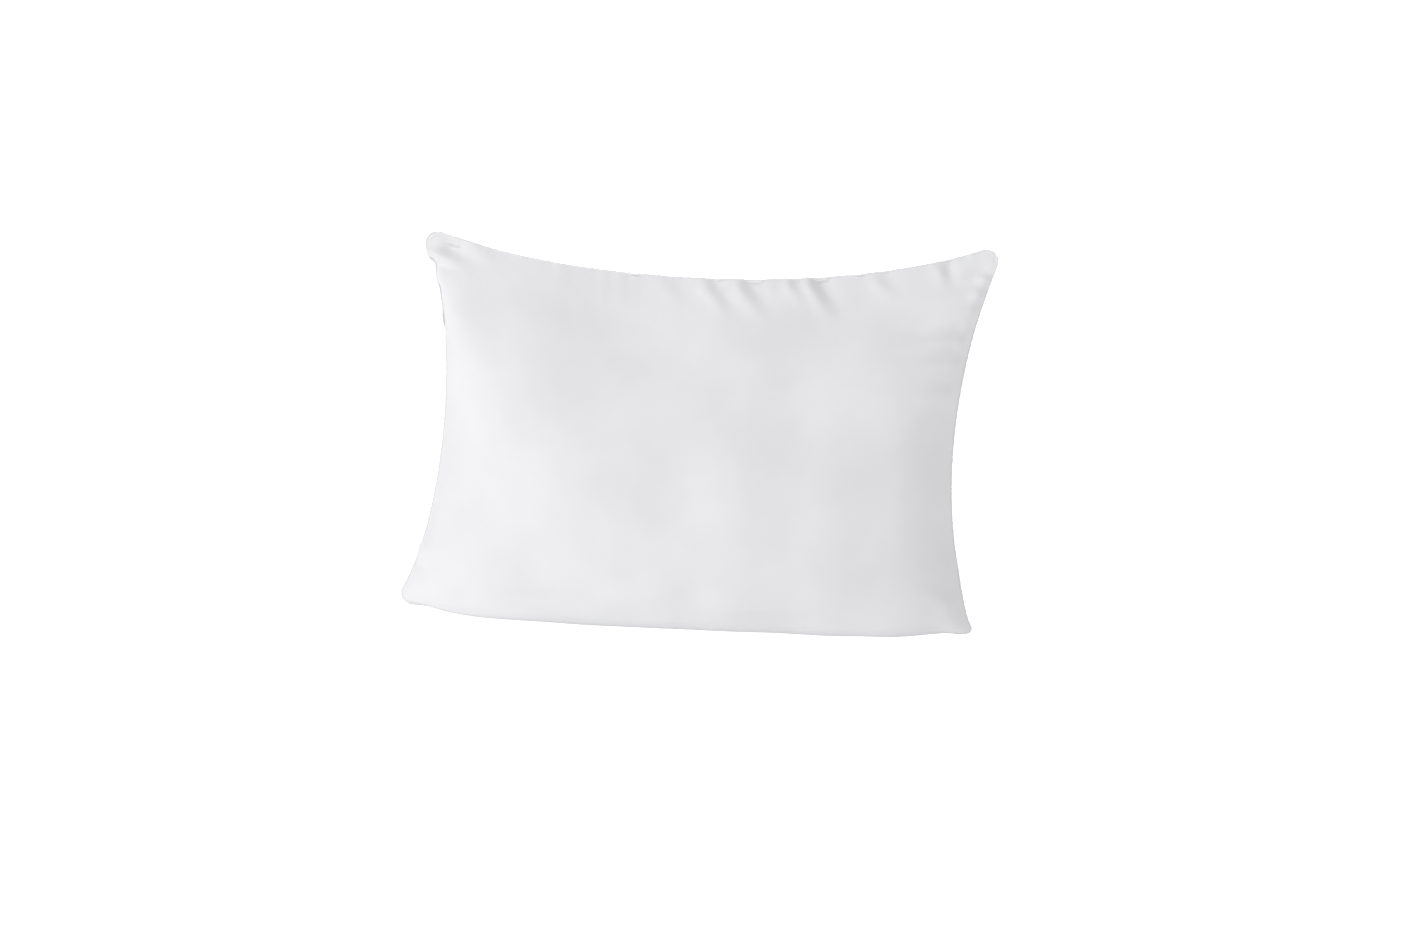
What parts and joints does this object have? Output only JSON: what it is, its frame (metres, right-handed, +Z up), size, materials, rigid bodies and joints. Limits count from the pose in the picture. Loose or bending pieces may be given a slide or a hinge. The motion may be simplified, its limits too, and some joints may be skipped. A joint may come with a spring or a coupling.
{
  "type": "bed pillow",
  "caption": "Filled bed pillow with two cotton panels and a piped seam, slumped as it stands on one long edge.",
  "frame": {"origin": "on the ground below the middle of the pillow's box", "axes": "+X along the long edge, +Y from the front panel to the back panel, +Z up"},
  "size_m": [0.7092, 0.204, 0.4634],
  "materials": {
    "cover_cotton": "plain-woven white cotton, matt",
    "piping_cotton": "bias strip of the same white cotton, matt",
    "piping_filler": "soft twisted cotton cord",
    "thread": "white spun polyester sewing thread",
    "wadding": "white carded polyester fibre",
    "label_tape": "blank white satin tape"
  },
  "bodies": {
    "root": {"front_panel": "cover_cotton", "back_panel": "cover_cotton", "piping_cover": "piping_cotton", "piping_cord": "piping_filler", "seam_needle_thread": "thread", "seam_bobbin_thread": "thread", "overlock_thread": "thread", "closing_needle_thread": "thread", "closing_bobbin_thread": "thread", "front_batting": "wadding", "back_batting": "wadding", "fill_core": "wadding", "care_label": "label_tape"}
  },
  "joints": []
}
